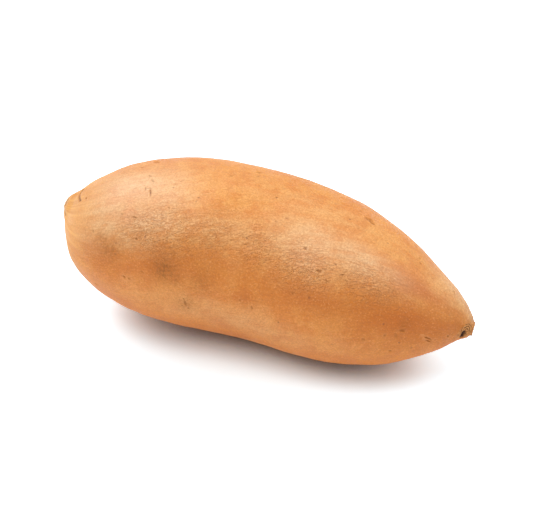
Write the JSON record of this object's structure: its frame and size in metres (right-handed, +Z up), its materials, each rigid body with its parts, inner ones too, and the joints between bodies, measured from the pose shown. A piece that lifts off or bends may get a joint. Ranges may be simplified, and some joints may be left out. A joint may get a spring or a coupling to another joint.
{
  "type": "sweet potato",
  "caption": "Whole raw sweet potato lying on its side, with a blunt stem end, a gently bowed plump body and a root tip that ends in a short woody stub.",
  "frame": {"origin": "on the floor that the root lies on, under the middle of its box", "axes": "+X along the root from the stem end to the root tip, +Z up as it lies, +Y towards the side that its middle bends to"},
  "size_m": [0.1694, 0.0754, 0.0695],
  "materials": {
    "skin": "thin satin skin, orange tan, with fine creases, pores and brown root scars"
  },
  "bodies": {
    "root": {"sweet_potato": "skin"}
  },
  "joints": []
}
